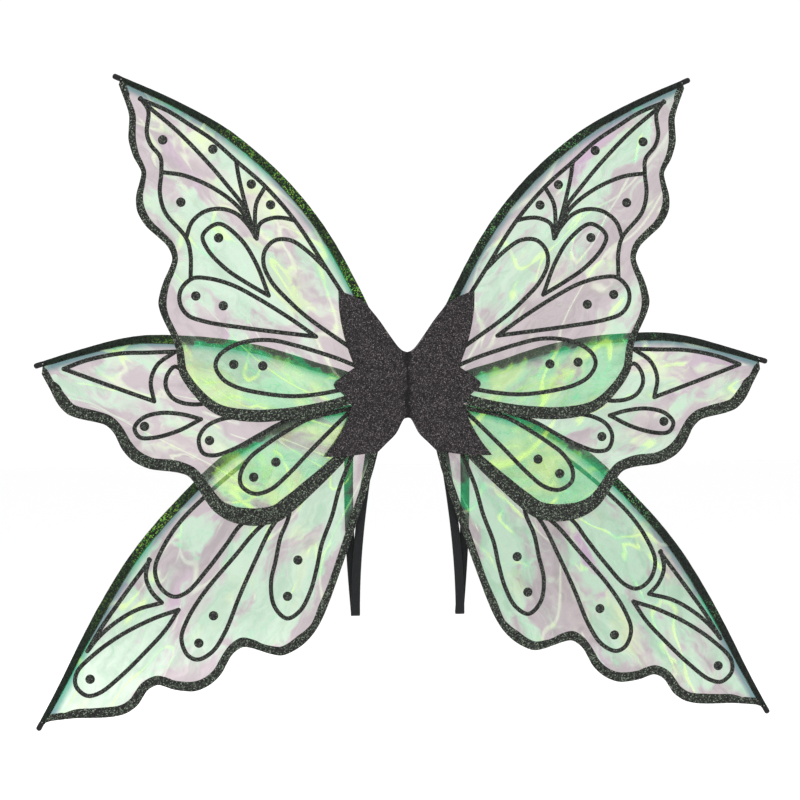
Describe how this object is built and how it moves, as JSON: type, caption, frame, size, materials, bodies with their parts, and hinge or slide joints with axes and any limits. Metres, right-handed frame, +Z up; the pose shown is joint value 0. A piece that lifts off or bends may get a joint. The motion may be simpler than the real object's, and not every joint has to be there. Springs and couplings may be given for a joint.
{
  "type": "costume fairy wings",
  "caption": "Wearable costume wings: wire-edged iridescent film panels in upper, middle and lower pairs, held in a folding glitter centre cover with elastic shoulder loops behind.",
  "frame": {"origin": "middle of the back pad's flat face, where it lies against the wearer's back", "axes": "+Z up along the fold, +X towards the right-hand wings, +Y towards the wearer; the decorated side faces -Y"},
  "size_m": [0.9034, 0.0261, 0.7897],
  "materials": {
    "glitter_foam": "charcoal glitter foam, fine pale specks",
    "felt": "black needle felt",
    "elastic": "black ribbed woven elastic",
    "steel_wire": "drawn spring-steel wire",
    "binding": "black satin binding with a green glint",
    "film": "crinkled iridescent film, green by reflection and pale pink by transmission",
    "glitter_edging": "black glitter coating, fine grain",
    "cap_rubber": "soft black"
  },
  "bodies": {
    "spine": {"back_pad": "felt", "spine_web": "felt", "seam_tape": "felt"},
    "right_half": {"right_front_cover": "glitter_foam", "right_back_cover": "felt", "right_strap_patch": "felt"},
    "right_upper_wing": {"right_upper_wire": "steel_wire", "right_upper_sleeve": "binding", "right_upper_film": "film", "right_upper_edging": "glitter_edging", "right_upper_tip_cap": "cap_rubber"},
    "right_middle_wing": {"right_middle_wire": "steel_wire", "right_middle_sleeve": "binding", "right_middle_film": "film", "right_middle_edging": "glitter_edging", "right_middle_tip_cap": "cap_rubber"},
    "right_lower_wing": {"right_lower_wire": "steel_wire", "right_lower_sleeve": "binding", "right_lower_film": "film", "right_lower_edging": "glitter_edging", "right_lower_tip_cap": "cap_rubber"},
    "right_shoulder_loop": {"right_strap": "elastic"},
    "left_half": {"left_front_cover": "glitter_foam", "left_back_cover": "felt", "left_strap_patch": "felt"},
    "left_upper_wing": {"left_upper_wire": "steel_wire", "left_upper_sleeve": "binding", "left_upper_film": "film", "left_upper_edging": "glitter_edging", "left_upper_tip_cap": "cap_rubber"},
    "left_middle_wing": {"left_middle_wire": "steel_wire", "left_middle_sleeve": "binding", "left_middle_film": "film", "left_middle_edging": "glitter_edging", "left_middle_tip_cap": "cap_rubber"},
    "left_lower_wing": {"left_lower_wire": "steel_wire", "left_lower_sleeve": "binding", "left_lower_film": "film", "left_lower_edging": "glitter_edging", "left_lower_tip_cap": "cap_rubber"},
    "left_shoulder_loop": {"left_strap": "elastic"}
  },
  "joints": [
    {"name": "right_fold", "type": "hinge", "parent": "spine", "child": "right_half", "pos_m": [0.0039, -0.0211, 0], "axis": [0, 0, -1], "range_deg": [0, 85]},
    {"name": "right_upper_fan", "type": "hinge", "parent": "right_half", "child": "right_upper_wing", "pos_m": [0.038, -0.0171, 0.056], "axis": [0, -1, 0], "range_deg": [-12, 12]},
    {"name": "right_middle_fan", "type": "hinge", "parent": "right_half", "child": "right_middle_wing", "pos_m": [0.042, -0.0127, -0.002], "axis": [0, -1, 0], "range_deg": [-12, 12]},
    {"name": "right_lower_fan", "type": "hinge", "parent": "right_half", "child": "right_lower_wing", "pos_m": [0.052, -0.0083, -0.029], "axis": [0, -1, 0], "range_deg": [-12, 12]},
    {"name": "right_loop_swing", "type": "hinge", "parent": "right_half", "child": "right_shoulder_loop", "pos_m": [0.0565, -0.0031, -0.06], "axis": [1, 0, 0], "range_deg": [0, 75]},
    {"name": "left_fold", "type": "hinge", "parent": "spine", "child": "left_half", "pos_m": [-0.0039, -0.0211, 0], "axis": [0, 0, 1], "range_deg": [0, 85]},
    {"name": "left_upper_fan", "type": "hinge", "parent": "left_half", "child": "left_upper_wing", "pos_m": [-0.038, -0.0171, 0.056], "axis": [0, 1, 0], "range_deg": [-12, 12]},
    {"name": "left_middle_fan", "type": "hinge", "parent": "left_half", "child": "left_middle_wing", "pos_m": [-0.042, -0.0127, -0.002], "axis": [0, 1, 0], "range_deg": [-12, 12]},
    {"name": "left_lower_fan", "type": "hinge", "parent": "left_half", "child": "left_lower_wing", "pos_m": [-0.052, -0.0083, -0.029], "axis": [0, 1, 0], "range_deg": [-12, 12]},
    {"name": "left_loop_swing", "type": "hinge", "parent": "left_half", "child": "left_shoulder_loop", "pos_m": [-0.0565, -0.0031, -0.06], "axis": [1, 0, 0], "range_deg": [0, 75]}
  ]
}
